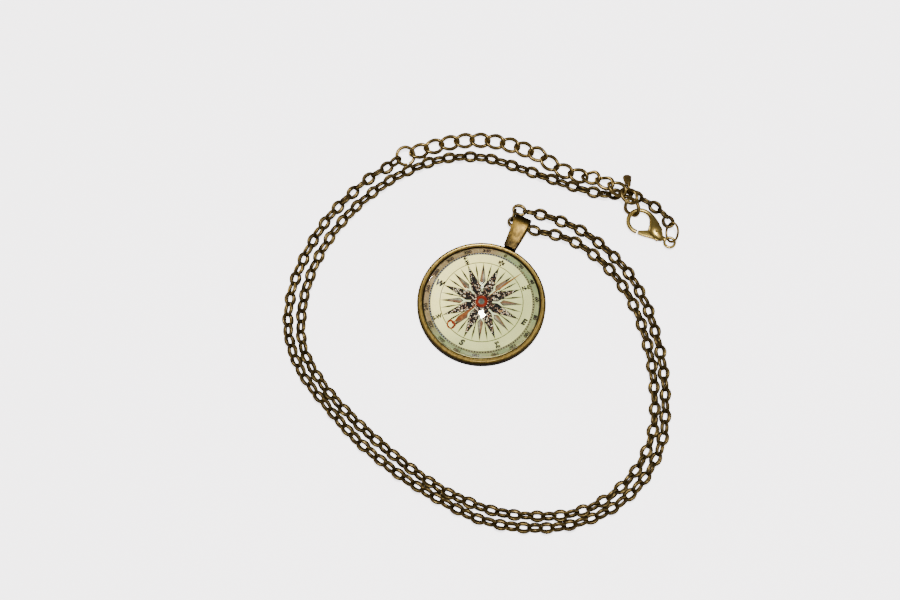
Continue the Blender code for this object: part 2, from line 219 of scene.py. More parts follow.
def buildPlatingGroup():
    group, start, end = newGroup(
        "agedPlating",
        [("Plate", "NodeSocketColor", (0.4, 0.3, 0.12, 1.0)), ("Tarnish", "NodeSocketColor", (0.1, 0.07, 0.03, 1.0)),
         ("Rub", "NodeSocketColor", (0.7, 0.55, 0.25, 1.0)), ("Amount", "NodeSocketFloat", 0.5),
         ("Grain", "NodeSocketFloat", 900.0), ("Smooth", "NodeSocketFloat", 0.3)],
        [("Color", "NodeSocketColor", None), ("Roughness", "NodeSocketFloat", None),
         ("Height", "NodeSocketFloat", None)])
    place = addNode(group, "ShaderNodeTexCoord").outputs["Object"]
    slow = addNode(group, "ShaderNodeTexNoise", Vector=place, Scale=start.outputs["Grain"], Detail=4.0,
                   Roughness=0.6).outputs[0]
    fine = addNode(group, "ShaderNodeTexNoise", Vector=place,
                   Scale=mathNode(group, "MULTIPLY", start.outputs["Grain"], 5.0), Detail=3.0).outputs[0]
    dark = rampNode(group, mathNode(group, "ADD", slow, mathNode(group, "MULTIPLY", start.outputs["Amount"], 0.3)),
                    0.45, 0.85)
    rubbed = rampNode(group, mathNode(group, "SUBTRACT", fine, mathNode(group, "MULTIPLY", dark, 0.2)), 0.52, 0.72)
    worn = mixColour(group, mathNode(group, "MULTIPLY", rubbed, 0.55), start.outputs["Plate"], start.outputs["Rub"])
    colour = mixColour(group, dark, worn, start.outputs["Tarnish"])
    rough = mathNode(group, "ADD", start.outputs["Smooth"], mathNode(group, "MULTIPLY", dark, 0.16))
    rough = mathNode(group, "ADD", rough, mathNode(group, "MULTIPLY", fine, 0.10))
    group.links.new(colour, end.inputs["Color"])
    group.links.new(rough, end.inputs["Roughness"])
    group.links.new(mathNode(group, "ADD", fine, mathNode(group, "MULTIPLY", slow, 0.5)), end.inputs["Height"])
    return group


def buildBrushedGroup():
    group, start, end = newGroup(
        "brushedLines",
        [("Angle", "NodeSocketFloat", 0.0), ("Fineness", "NodeSocketFloat", 4000.0)],
        [("Lines", "NodeSocketFloat", None)])
    place = addNode(group, "ShaderNodeTexCoord").outputs["Object"]
    turned = addNode(group, "ShaderNodeVectorRotate", {"rotation_type": "Z_AXIS"}, Vector=place,
                     Angle=start.outputs["Angle"]).outputs[0]
    squeezed = addNode(group, "ShaderNodeVectorMath", {"operation": "MULTIPLY"}, s0=turned,
                       s1=(1.0, 0.06, 1.0)).outputs[0]
    lines = addNode(group, "ShaderNodeTexNoise", Vector=squeezed, Scale=start.outputs["Fineness"], Detail=3.0)
    group.links.new(lines.outputs[0], end.inputs["Lines"])
    return group


platingGroup = buildPlatingGroup()
brushedGroup = buildBrushedGroup()


def newMaterial(name):
    material = bpy.data.materials.new(name)
    material.use_nodes = True
    shader = material.node_tree.nodes["Principled BSDF"]
    return material, material.node_tree, shader


def polarNodes(tree):
    place = addNode(tree, "ShaderNodeTexCoord").outputs["Object"]
    parts = addNode(tree, "ShaderNodeSeparateXYZ", Vector=place)
    x, y = parts.outputs[0], parts.outputs[1]
    radius = mathNode(tree, "SQRT", mathNode(tree, "ADD", mathNode(tree, "MULTIPLY", x, x),
                                            mathNode(tree, "MULTIPLY", y, y)))
    return place, x, y, mathNode(tree, "MULTIPLY", radius, 1000.0)


# where the tray and the bail get rub wear, painted highlights and painted shade
wearAndPaintedLight = {"bead": 13.38, "beadHalf": 0.13, "beadCore": 0.03, "groove": (13.06, 12.90), "wall": (13.72, 13.84),
        "bailTurn": 26.0, "bailRoot": (17.2, 14.6), "bailFold": (20.2, 21.0), "bailMiddle": 18.6}


def trayRubAndPaintedLight(tree):  # the bead is rubbed bright and carries a painted highlight; the groove inside it and the outer wall get painted shade
    radius = polarNodes(tree)[3]
    offBead = mathNode(tree, "ABSOLUTE", mathNode(tree, "SUBTRACT", radius, wearAndPaintedLight["bead"]))
    bright = rampNode(tree, offBead, wearAndPaintedLight["beadHalf"], wearAndPaintedLight["beadCore"], 0.0, 0.8)
    inside = rampNode(tree, radius, *wearAndPaintedLight["groove"])
    outside = rampNode(tree, radius, *wearAndPaintedLight["wall"], 0.0, 0.85)
    return bright, mathNode(tree, "MAXIMUM", inside, outside)


def bailPaintedLight(tree):  # a painted highlight halfway up, painted shade at the root against the tray and over the fold
    x, y = polarNodes(tree)[1:3]
    turn = radians(wearAndPaintedLight["bailTurn"])
    reach = mathNode(tree, "ADD", mathNode(tree, "MULTIPLY", x, sin(turn) / mm),
                     mathNode(tree, "MULTIPLY", y, cos(turn) / mm))
    root = rampNode(tree, reach, *wearAndPaintedLight["bailRoot"], 0.0, 0.85)
    fold = rampNode(tree, reach, *wearAndPaintedLight["bailFold"], 0.0, 0.75)
    offMiddle = mathNode(tree, "ABSOLUTE", mathNode(tree, "SUBTRACT", reach, wearAndPaintedLight["bailMiddle"]))
    return rampNode(tree, offMiddle, 1.4, 0.2, 0.0, 0.7), mathNode(tree, "MAXIMUM", root, fold)


def platedMetal(name, plate, tarnishAndShade, rubAndSheen, amount, smooth, grain=900.0, bump=0.25, brushAngle=None, wearAndLightBy=None):
    material, tree, shader = newMaterial(name)
    plating = addNode(tree, "ShaderNodeGroup", {"node_tree": platingGroup})
    for label, value in (("Plate", (*plate, 1.0)), ("Tarnish", (*tarnishAndShade, 1.0)), ("Rub", (*rubAndSheen, 1.0)),
                         ("Amount", amount), ("Grain", grain), ("Smooth", smooth)):
        plating.inputs[label].default_value = value
    colour, rough, height = plating.outputs
    if brushAngle is not None:
        brushed = addNode(tree, "ShaderNodeGroup", {"node_tree": brushedGroup})
        brushed.inputs["Angle"].default_value = radians(brushAngle)
        streak = rampNode(tree, brushed.outputs["Lines"], 0.35, 0.75)
        colour = mixColour(tree, mathNode(tree, "MULTIPLY", streak, 0.45), colour, (*rubAndSheen, 1.0))
        height = mathNode(tree, "ADD", height, mathNode(tree, "MULTIPLY", brushed.outputs["Lines"], 1.5))
    # the mask paints rub wear plus a painted highlight in the rub colour, and painted shade in darkened tarnish
    if wearAndLightBy:
        bright, dark = wearAndLightBy(tree)
        colour = mixColour(tree, bright, colour, (*rubAndSheen, 1.0))
        colour = mixColour(tree, dark, colour, (*[0.6 * part for part in tarnishAndShade], 1.0))
    tree.links.new(colour, shader.inputs["Base Color"])
    tree.links.new(rough, shader.inputs["Roughness"])
    shader.inputs["Metallic"].default_value = 0.9
    shader.inputs["Specular Tint"].default_value = (*[0.5 * part for part in plate], 1.0)
    dents = addNode(tree, "ShaderNodeBump", Strength=bump, Distance=0.00004, Height=height)
    tree.links.new(dents.outputs[0], shader.inputs["Normal"])
    return material


chainMetal = platedMetal("chainBronze", (0.115, 0.080, 0.028), (0.035, 0.024, 0.010), (0.28, 0.20, 0.07),
                         0.45, 0.30)
extenderMetal = platedMetal("extenderBronze", (0.19, 0.13, 0.042), (0.06, 0.04, 0.015), (0.42, 0.30, 0.10),
                            0.3, 0.26)
claspMetal = platedMetal("claspBrass", (0.30, 0.215, 0.06), (0.15, 0.10, 0.03), (0.46, 0.35, 0.12),
                         0.1, 0.26, 500.0)
trayMetal = platedMetal("trayBronze", (0.070, 0.047, 0.013), (0.025, 0.017, 0.006), (0.34, 0.23, 0.055),
                        0.25, 0.28, 1500.0, 0.35, 20.0, trayRubAndPaintedLight)
bailMetal = platedMetal("bailBronze", (0.070, 0.044, 0.011), (0.022, 0.015, 0.006), (0.16, 0.10, 0.021),
                        0.35, 0.30, 1400.0, 0.4, 26.0, bailPaintedLight)
charmMetal = platedMetal("charmBronze", (0.17, 0.115, 0.038), (0.07, 0.05, 0.018), (0.24, 0.17, 0.06),
                         0.4, 0.40, 700.0)
springMetal = platedMetal("springSteel", (0.55, 0.55, 0.54), (0.3, 0.3, 0.3), (0.8, 0.8, 0.8), 0.2, 0.25)


def clearGlass():
    material, tree, shader = newMaterial("dialGlass")
    shader.inputs["Base Color"].default_value = (0.985, 0.995, 0.975, 1.0)
    shader.inputs["Transmission Weight"].default_value = 1.0
    shader.inputs["IOR"].default_value = 1.5
    tint = addNode(tree, "ShaderNodeTexNoise", Vector=addNode(tree, "ShaderNodeTexCoord").outputs["Object"],
                   Scale=220.0, Detail=2.0)
    tree.links.new(rampNode(tree, tint.outputs[0], 0.3, 0.8, 0.0, 0.02), shader.inputs["Roughness"])
    through = addNode(tree, "ShaderNodeBsdfTransparent", Color=(0.97, 0.98, 0.96, 1.0))
    lamp = addNode(tree, "ShaderNodeLightPath").outputs["Is Shadow Ray"]
    mixed = addNode(tree, "ShaderNodeMixShader", s0=lamp, s1=shader.outputs[0], s2=through.outputs[0])
    tree.links.new(mixed.outputs[0], tree.nodes["Material Output"].inputs["Surface"])
    return material


glassMaterial = clearGlass()


def printedPaper():
    material, tree, shader = newMaterial("dialPaper")
    place, x, y, radius = polarNodes(tree)
    leaning = mathNode(tree, "SUBTRACT", y, mathNode(tree, "MULTIPLY", x, 1.2))
    leaning = mathNode(tree, "MULTIPLY", leaning, 1000.0)  # high towards the upper left
    stains = addNode(tree, "ShaderNodeTexNoise", Vector=place, Scale=160.0, Detail=4.0).outputs[0]
    fibres = addNode(tree, "ShaderNodeTexNoise", Vector=place, Scale=2600.0, Detail=3.0).outputs[0]
    cream = mixColour(tree, rampNode(tree, stains, 0.35, 0.7), (0.38, 0.39, 0.165, 1.0), (0.33, 0.345, 0.14, 1.0))
    field = mixColour(tree, rampNode(tree, leaning, -6.0, 14.0), cream, (0.70, 0.63, 0.25, 1.0))
    green = mixColour(tree, rampNode(tree, stains, 0.4, 0.65), (0.095, 0.125, 0.055, 1.0), (0.12, 0.135, 0.055, 1.0))
    tan = mixColour(tree, rampNode(tree, stains, 0.4, 0.65), (0.115, 0.078, 0.036, 1.0), (0.145, 0.095, 0.048, 1.0))
    band = mixColour(tree, rampNode(tree, leaning, 2.0, 9.0), green, tan)
    colour = mixColour(tree, rampNode(tree, radius, 11.12, 11.18), field, band)
    ring = mathNode(tree, "LESS_THAN", mathNode(tree, "ABSOLUTE", mathNode(tree, "SUBTRACT", radius, 10.9)), 0.24)
    tone = mixColour(tree, rampNode(tree, leaning, -3.0, 3.0), (0.10, 0.10, 0.055, 1.0), (0.05, 0.07, 0.11, 1.0))
    colour = mixColour(tree, mathNode(tree, "MULTIPLY", ring, 0.95), colour, tone)
    # painted shade: the paper darkens towards its rim, where the tray wall shades it
    edge = rampNode(tree, radius, 11.9, 12.5)
    colour = mixColour(tree, mathNode(tree, "MULTIPLY", edge, 0.8), colour, (0.06, 0.045, 0.03, 1.0))
    colour = mixColour(tree, rampNode(tree, fibres, 0.4, 0.8, 0.0, 0.22), colour, (0.33, 0.28, 0.13, 1.0))
    tree.links.new(colour, shader.inputs["Base Color"])
    tree.links.new(rampNode(tree, fibres, 0.3, 0.7, 0.45, 0.62), shader.inputs["Roughness"])
    shader.inputs["Specular IOR Level"].default_value = 0.0
    grain = addNode(tree, "ShaderNodeBump", Strength=0.15, Distance=0.00002, Height=fibres)
    tree.links.new(grain.outputs[0], shader.inputs["Normal"])
    return material


def inkMaterial(name, ink, faded, patchScale=900.0, low=0.4, high=0.75):
    material, tree, shader = newMaterial(name)
    place = addNode(tree, "ShaderNodeTexCoord").outputs["Object"]
    patches = addNode(tree, "ShaderNodeTexNoise", Vector=place, Scale=patchScale, Detail=3.0).outputs[0]
    colour = mixColour(tree, rampNode(tree, patches, low, high), (*ink, 1.0), (*faded, 1.0))
    tree.links.new(colour, shader.inputs["Base Color"])
    tree.links.new(rampNode(tree, patches, 0.3, 0.7, 0.4, 0.6), shader.inputs["Roughness"])
    shader.inputs["Specular IOR Level"].default_value = 0.0
    return material


def laceInk():
    material, tree, shader = newMaterial("laceInk")
    place = addNode(tree, "ShaderNodeTexCoord").outputs["Object"]
    dots = addNode(tree, "ShaderNodeTexVoronoi", {"feature": "F1"}, Vector=place, Scale=3300.0, Randomness=0.8)
    spots = rampNode(tree, dots.outputs["Distance"], 0.46, 0.30)
    tone = addNode(tree, "ShaderNodeTexNoise", Vector=place, Scale=1500.0, Detail=1.0).outputs[0]
    pale = mixColour(tree, rampNode(tree, tone, 0.42, 0.58), (0.26, 0.11, 0.06, 1.0), (0.62, 0.54, 0.38, 1.0))
    some = rampNode(tree, tone, 0.36, 0.5)
    colour = mixColour(tree, mathNode(tree, "MULTIPLY", spots, some), (0.006, 0.006, 0.006, 1.0), pale)
    tree.links.new(colour, shader.inputs["Base Color"])
    tree.links.new(rampNode(tree, tone, 0.3, 0.7, 0.4, 0.6), shader.inputs["Roughness"])
    shader.inputs["Specular IOR Level"].default_value = 0.0
    return material


paperMaterial = printedPaper()
blackInk = inkMaterial("blackInk", (0.006, 0.006, 0.006), (0.02, 0.018, 0.016))
brownInk = inkMaterial("brownInk", (0.07, 0.033, 0.018), (0.13, 0.075, 0.042))
greyInk = inkMaterial("greyInk", (0.06, 0.055, 0.04), (0.18, 0.17, 0.12))
numberInk = inkMaterial("numberInk", (0.008, 0.006, 0.005), (0.028, 0.018, 0.015))
whiteInk = inkMaterial("whiteInk", (0.42, 0.44, 0.26), (0.32, 0.34, 0.20), 1400.0)
redInk = inkMaterial("redInk", (0.105, 0.010, 0.004), (0.16, 0.026, 0.010), 1200.0)
orangeInk = inkMaterial("orangeInk", (0.10, 0.028, 0.009), (0.19, 0.075, 0.025), 1200.0)
hubInk = inkMaterial("hubInk", (0.05, 0.055, 0.045), (0.16, 0.17, 0.13), 1500.0)
lacePrint = laceInk()
print("finishes made")


# Chain strands: small oval links, each turned a quarter from the one before

strandA = {
    "route": (
        (8.53, 21.71, 1.2), (10.5, 21.4, 1.1), (14.0, 20.6, 1.0), (18.5, 18.9, 1.0), (22.7, 16.6, 1.0),
        (26.4, 13.6, 1.0), (29.8, 10.1, 1.0), (32.7, 6.2, 1.0), (34.8, 1.9, 1.0), (36.5, -2.6, 1.0),
        (38.5, -12.0, 1.0), (39.0, -21.7, 1.0), (37.8, -31.2, 1.0), (33.3, -39.6, 1.0), (25.9, -45.8, 1.0),
        (16.8, -49.0, 1.0), (7.2, -49.2, 1.0), (0.1, -47.8, 1.0), (-4.2, -46.0, 1.0), (-8.3, -43.8, 1.0),
        (-12.9, -41.1, 1.0), (-19.0, -36.9, 1.0), (-26.4, -30.6, 1.0), (-32.7, -23.5, 1.0), (-38.5, -15.8, 1.0),
        (-41.7, -6.8, 1.0), (-41.3, 2.7, 1.0), (-38.3, 11.8, 1.0), (-33.6, 20.2, 1.0), (-27.2, 27.4, 1.0),
        (-23.6, 30.5, 1.0), (-20.9, 32.2, 1.1), (-19.1, 33.6, 1.4)),
    "turns": ((0.0, 16), (0.08, 32), (0.25, 35), (0.4, 42), (0.6, 45), (0.78, 46), (0.88, 36), (1.0, 18)),
    "nodes": ("strand_a",),
}
strandB = {
    "route": (
        (11.73, 16.87, 1.3), (13.8, 16.5, 1.1), (16.3, 16.1, 1.0), (20.8, 14.2, 1.0), (24.6, 11.4, 1.0),
        (28.0, 8.0, 1.0), (30.7, 4.2, 1.0), (32.9, -0.1, 1.0), (34.5, -4.6, 1.0), (36.1, -11.6, 1.0),
        (36.7, -19.0, 1.0), (36.1, -28.5, 1.0), (32.2, -37.1, 1.0), (25.3, -43.6, 1.1), (17.2, -46.7, 1.3),
        (7.7, -46.8, 1.3), (1.0, -45.6, 1.6), (-4.1, -43.7, 2.0), (-8.3, -41.6, 1.9), (-13.7, -37.9, 1.4),
        (-20.9, -32.0, 1.0), (-27.9, -25.4, 1.0), (-34.2, -18.1, 1.0), (-38.5, -9.8, 1.0), (-38.8, -0.2, 1.0),
        (-36.4, 9.0, 1.0), (-31.9, 17.5, 1.0), (-25.6, 24.7, 1.0), (-17.9, 30.5, 1.0), (-9.1, 34.1, 1.0),
        (0.4, 34.6, 1.0), (9.6, 31.7, 1.0), (18.5, 28.3, 1.0), (23.0, 26.8, 1.0), (27.8, 25.7, 1.0),
        (32.8, 25.7, 1.0), (36.9, 23.9, 1.0), (38.9, 22.4, 1.0), (40.3, 21.2, 1.1), (41.32, 18.89, 1.74)),
    "turns": ((0.0, 16), (0.08, 32), (0.25, 35), (0.4, 42), (0.6, 46), (0.7, 38), (0.9, 34), (1.0, 22)),
    "nodes": ("strand_b",),
}
chainLink = {"ring": 1.2, "wire": 0.24, "around": 16, "across": 8, "outer": (1.2, 1.03), "inner": (1.07, 0.58),
             "thick": 1.55, "pitch": 2.4}
chainLean = Vector((0.0, -0.33, 0.94))  # the way the links' turns are counted from


def modelChainLink(around, across, levels=0):
    bpy.ops.mesh.primitive_torus_add(major_segments=around, minor_segments=across,
                                     major_radius=chainLink["ring"] * mm, minor_radius=chainLink["wire"] * mm)
    link = bpy.context.object
    startEdit(link)
    pickVerts(link, lambda p: hypot(p.x, p.y) > chainLink["ring"])
    bpy.ops.transform.resize(value=(*chainLink["outer"], chainLink["thick"]))
    pickVerts(link, lambda p: hypot(p.x, p.y / 0.95) < chainLink["ring"] * 0.955)
    bpy.ops.transform.resize(value=(*chainLink["inner"], chainLink["thick"]))
    endEdit()
    if levels:
        smooth = link.modifiers.new("smooth", "SUBSURF")
        smooth.levels = smooth.render_levels = levels
        applyModifiers(link)
    return link


def smoothRoute(route, spacing):
    points = [Vector(point) for point in route]
    points = [2 * points[0] - points[1], *points, 2 * points[-1] - points[-2]]
    fine = []
    for before, start, end, after in zip(points, points[1:], points[2:], points[3:]):
        for step in range(24):
            t = step / 24
            fine.append(0.5 * (2 * start + (end - before) * t + (2 * before - 5 * start + 4 * end - after) * t * t
                               + (3 * start - before - 3 * end + after) * t ** 3))
    fine.append(points[-2])
    lengths = [0.0]
    for start, end in zip(fine, fine[1:]):
        lengths.append(lengths[-1] + (end - start).length)
    count = round(lengths[-1] / spacing)
    places, index = [], 0
    for step in range(count + 1):
        wanted = lengths[-1] * step / count
        while index < len(fine) - 2 and lengths[index + 1] < wanted:
            index += 1
        share = (wanted - lengths[index]) / (lengths[index + 1] - lengths[index])
        places.append(fine[index].lerp(fine[index + 1], share))
    return places


def valueAlong(keys, share):
    for (start, low), (end, high) in zip(keys, keys[1:]):
        if share <= end:
            return low + (high - low) * (share - start) / (end - start)
    return keys[-1][1]


def makeStrand(strand, name, seed):
    scatter = np.random.default_rng(seed)
    model = modelChainLink(chainLink["around"], chainLink["across"])
    places = smoothRoute(strand["route"], chainLink["pitch"])
    turns, last = [], len(places) - 1
    for index in range(last + 1):
        along = (places[min(index + 1, last)] - places[max(index - 1, 0)]).normalized()
        side = chainLean.cross(along).normalized()
        roll = valueAlong(strand["turns"], index / last) + 90 * (index % 2) + scatter.uniform(-6, 6)
        lying = Matrix((along, side, along.cross(side))).transposed().to_4x4()
        turns.append(lying @ Matrix.Rotation(radians(roll), 4, "X"))
    heights = [0.32 + 1.1 * abs(turn[2][1]) for turn in turns]
    links = []
    for index in range(1, last):
        lift = max(heights[index], 0.86 * max(heights[index - 1], heights[index + 1])) - 1.0
        place = places[index] + Vector((0, 0, lift)) * min(1, index / 2, (last - index) / 2)
        links.append(copyAt(model, Matrix.Translation(place * mm) @ turns[index]))
    deletePiece(model)
    chain = joinPieces(links)
    finishPiece(chain, name, "chain", chainMetal, strand["nodes"], 80)


makeStrand(strandA, "strandALinks", 3)
makeStrand(strandB, "strandBLinks", 8)


# The single links at the bail and at the strands' ends

def makeSingleLinks():
    model = modelChainLink(20, 8, 1)
    for node in ["bail_link_%d" % n for n in range(1, 6)] + ["strand_a_end_link", "strand_b_end_link"]:
        link = copyAt(model, linkMatrix(node))
        finishPiece(link, node.replace("_", "-") + "-oval", "chain", chainMetal, (node,), 80)
    deletePiece(model)
    print("single links placed")


makeSingleLinks()


# The extender's twisted links and its rings

curbLink = {"long": 2.075, "broad": 1.43, "wire": 0.42, "twist": 81.6}
rings = {
    "openRing": {"node": "open_jump_ring", "radius": 2.0, "wire": 0.38, "cut": 262, "gap": 14,
                 "pose": (-16.8, 35.0, 1.3, 27, 1, 29)},
    "claspRing": {"node": "clasp_jump_ring", "radius": 2.1, "wire": 0.27, "cut": 215, "gap": 4,
                  "pose": (42.04, 16.21, 2.16, -61, 5, 101)},
    "charmRing": {"node": "charm_ring", "radius": 1.0, "wire": 0.23, "cut": 200, "gap": 5,
                  "pose": (32.75, 26.67, 2.83, 90, 0, 90)},
}


def makeExtender():
    bpy.ops.mesh.primitive_torus_add(major_segments=36, minor_segments=12, major_radius=1.0 * mm,
                                     minor_radius=curbLink["wire"] * mm)
    model = bpy.context.object
    startEdit(model)
    bpy.ops.mesh.select_all(action="SELECT")
    bpy.ops.transform.resize(value=(curbLink["long"], curbLink["broad"], 1.0))
    endEdit()
    for vert in model.data.vertices:  # keep the wire round after the ring is drawn out into an oval
        angle = atan2(vert.co.y / curbLink["broad"], vert.co.x / curbLink["long"])
        spine = Vector((curbLink["long"] * cos(angle), curbLink["broad"] * sin(angle), 0)) * mm
        outward = Vector((curbLink["broad"] * cos(angle), curbLink["long"] * sin(angle), 0)).normalized()
        swell = hypot(vert.co.x / curbLink["long"], vert.co.y / curbLink["broad"]) - mm
        vert.co = spine + outward * swell + Vector((0, 0, vert.co.z))
    twist = model.modifiers.new("twist", "SIMPLE_DEFORM")
    twist.deform_method, twist.deform_axis, twist.angle = "TWIST", "X", radians(curbLink["twist"])
    applyModifiers(model)
    for number in range(1, 18):
        node = "extender_link_%02d" % number
        link = copyAt(model, linkMatrix(node))
        finishPiece(link, "curbLink%02d" % number, "chain", extenderMetal, (node,), 80)
    deletePiece(model)
    print("extender made")


def makeRings():
    for name, ring in rings.items():
        bpy.ops.mesh.primitive_torus_add(major_segments=72, minor_segments=14, major_radius=ring["radius"] * mm,
                                         minor_radius=ring["wire"] * mm)
        piece = bpy.context.object
        startEdit(piece, "FACE")
        half = ring["gap"] / 2
        cut = radians(ring["cut"])
        pickFaces(piece, lambda p, n: abs(atan2(sin(atan2(p.y, p.x) - cut), cos(atan2(p.y, p.x) - cut)))
                  < radians(half))
        bpy.ops.mesh.delete(type="FACE")
        bpy.ops.mesh.select_mode(type="EDGE")
        bpy.ops.mesh.select_non_manifold()
        bpy.ops.mesh.fill_holes(sides=40)
        endEdit()
        piece.data.transform(poseMatrix(*ring["pose"]))
        finishPiece(piece, name, "chain", extenderMetal, (ring["node"],), 60)
    print("rings made")


makeExtender()
makeRings()


# Pendant: cup, dial and glass

tray = {"radius": 14.0, "height": 2.1, "floor": 0.6}
glass = {"radius": 12.5, "edge": 12.4, "girdle": 2.0, "top": 6.0}


def makeTray():
    bpy.ops.mesh.primitive_cylinder_add(vertices=160, radius=tray["radius"] * mm, depth=tray["height"] * mm,
                                        location=(0, 0, tray["height"] * mm / 2))
    cup = bpy.context.object
    applyPlace(cup)
    startEdit(cup, "FACE")
    pickFaces(cup, lambda p, n: n.z > 0.9)
    bpy.ops.mesh.inset(thickness=0.28 * mm)  # the outer shoulder
    bpy.ops.mesh.inset(thickness=0.10 * mm)
    bpy.ops.mesh.inset(thickness=0.22 * mm)  # the bright bead
    bpy.ops.mesh.inset(thickness=0.10 * mm)
    bpy.ops.mesh.inset(thickness=0.50 * mm)  # the inner slope
    bpy.ops.mesh.inset(thickness=0.16 * mm)
    pickFaces(cup, lambda p, n: n.z > 0.9 and hypot(p.x, p.y) < 12.0)
    bpy.ops.mesh.extrude_region_move(TRANSFORM_OT_translate={"value": (0, 0, (tray["floor"] - tray["height"]) * mm)})
    pickVerts(cup, lambda p: p.z > 2.0 and hypot(p.x, p.y) > 13.9)
    bpy.ops.transform.translate(value=(0, 0, -0.55 * mm))
    pickVerts(cup, lambda p: p.z > 2.0 and 13.65 < hypot(p.x, p.y) < 13.8)
    bpy.ops.transform.translate(value=(0, 0, -0.24 * mm))
    pickVerts(cup, lambda p: p.z > 2.0 and 13.25 < hypot(p.x, p.y) < 13.35)
    bpy.ops.transform.translate(value=(0, 0, -0.05 * mm))
    pickVerts(cup, lambda p: p.z > 2.0 and 13.15 < hypot(p.x, p.y) < 13.25)
    bpy.ops.transform.translate(value=(0, 0, -0.16 * mm))
    pickVerts(cup, lambda p: p.z > 2.0 and 12.6 < hypot(p.x, p.y) < 12.75)
    bpy.ops.transform.translate(value=(0, 0, -0.40 * mm))
    pickVerts(cup, lambda p: p.z > 2.0 and hypot(p.x, p.y) < 12.6)
    bpy.ops.transform.translate(value=(0, 0, -0.75 * mm))
    endEdit()
    soften = cup.modifiers.new("soften", "BEVEL")
    soften.width, soften.segments, soften.limit_method, soften.angle_limit = 0.07 * mm, 2, "ANGLE", radians(25)
    applyModifiers(cup)
    finishPiece(cup, "trayCup", "pendant", trayMetal, ("tray",), 35)


def makeGlass():
    rise = glass["top"] - glass["girdle"]
    sphere = (glass["edge"] ** 2 + rise ** 2) / (2 * rise)
    bpy.ops.mesh.primitive_uv_sphere_add(segments=128, ring_count=160, radius=sphere * mm,
                                         location=(0, 0, (glass["top"] - sphere) * mm))
    dome = bpy.context.object
    applyPlace(dome)
    startEdit(dome)
    bpy.ops.mesh.select_all(action="SELECT")
    bpy.ops.mesh.bisect(plane_co=(0, 0, glass["girdle"] * mm), plane_no=(0, 0, 1), clear_inner=True)
    pickVerts(dome, lambda p: p.z < glass["girdle"] + 0.001)
    for spread, drop in ((0.06, 0.05), (0.04, 0.12), (0.0, 0.6), (-0.05, 0.13), (-0.15, 0.1)):
        bpy.ops.mesh.extrude_region_move(TRANSFORM_OT_translate={"value": (0, 0, -drop * mm)})
        grow = 1 + spread / glass["radius"]
        bpy.ops.transform.resize(value=(grow, grow, 1))
    bpy.ops.mesh.edge_face_add()
    bpy.ops.mesh.select_all(action="SELECT")
    bpy.ops.mesh.normals_make_consistent(inside=False)
    endEdit()
    finishPiece(dome, "glassDome", "pendant", glassMaterial, ("glass_cabochon", "glue_film"), 50)


makeTray()
makeGlass()
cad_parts["dial"].data.materials.clear()
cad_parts["dial"].data.materials.append(paperMaterial)
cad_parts["dial_adhesive"].data.materials.clear()
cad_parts["dial_adhesive"].data.materials.append(whiteInk)
print("tray, dial and glass made")


# The print on the dial, as thin ink. Angles run clockwise from the bail.

dial = {"top": 0.925, "turn": 26.0, "circle": 8.52, "scale": 10.9, "letters": 9.65, "numbers": 11.72}


def inkSheet(piece, level, thickness=0.006):  # gives a flat face the thickness of ink and lays it on the paper
    startEdit(piece, "FACE")
    bpy.ops.mesh.select_all(action="SELECT")
    bpy.ops.mesh.extrude_region_move(TRANSFORM_OT_translate={"value": (0, 0, thickness * mm)})
    bpy.ops.mesh.select_all(action="SELECT")
    bpy.ops.mesh.normals_make_consistent(inside=False)
    bpy.ops.transform.translate(value=(0, 0, (dial["top"] + level) * mm))
    endEdit()


def kite(inner, tip, widest, halfWidth, level, side=0):
    # a long four-cornered point; side keeps only its left (-1) or right (1) half
    bpy.ops.mesh.primitive_circle_add(vertices=4, radius=1.0, fill_type="NGON")
    point = bpy.context.object
    corners = {"tip": (0, tip), "inner": (0, inner), "left": (-halfWidth if side < 1 else 0, widest),
               "right": (halfWidth if side > -1 else 0, widest)}
    for vert in point.data.vertices:
        if abs(vert.co.x) > 0.5:
            x, y = corners["right" if vert.co.x > 0 else "left"]
        else:
            x, y = corners["tip" if vert.co.y > 0 else "inner"]
        vert.co = Vector((x, y, 0)) * mm
    inkSheet(point, level)
    return point


def fan(model, angles):
    copies = [copyAt(model, Matrix.Rotation(-radians(angle + dial["turn"]), 4, "Z")) for angle in angles]
    deletePiece(model)
    return joinPieces(copies)


def ringBand(inner, outer, level, sides=144):
    bpy.ops.mesh.primitive_circle_add(vertices=sides, radius=outer * mm, fill_type="NGON")
    band = bpy.context.object
    startEdit(band, "FACE")
    bpy.ops.mesh.select_all(action="SELECT")
    bpy.ops.mesh.inset(thickness=(outer - inner) * mm)
    bpy.ops.mesh.delete(type="FACE")
    endEdit()
    inkSheet(band, level)
    return band


def printText(words, size, radius, angle, facing, level, slant=0.0):
    bpy.ops.object.text_add()
    text = bpy.context.object
    text.data.body = words
    text.data.size = size * mm
    text.data.align_x, text.data.align_y = "CENTER", "CENTER"
    text.data.extrude = 0.003 * mm
    text.data.offset = 0.07 * size * mm
    text.data.resolution_u = 3
    text.data.shear = slant
    text = toMesh(text)
    startEdit(text)
    bpy.ops.mesh.select_all(action="SELECT")
    bpy.ops.mesh.remove_doubles(threshold=1e-7)
    endEdit()
    around = -radians(angle + dial["turn"])
    place = Matrix.Rotation(around, 4, "Z") @ Matrix.Translation((0, radius * mm, (dial["top"] + level) * mm))
    text.data.transform(place @ Matrix.Rotation(radians(facing), 4, "Z"))
    return text


def printPiece(piece, name, material):
    finishPiece(piece, name, "pendant", material, (), 30)


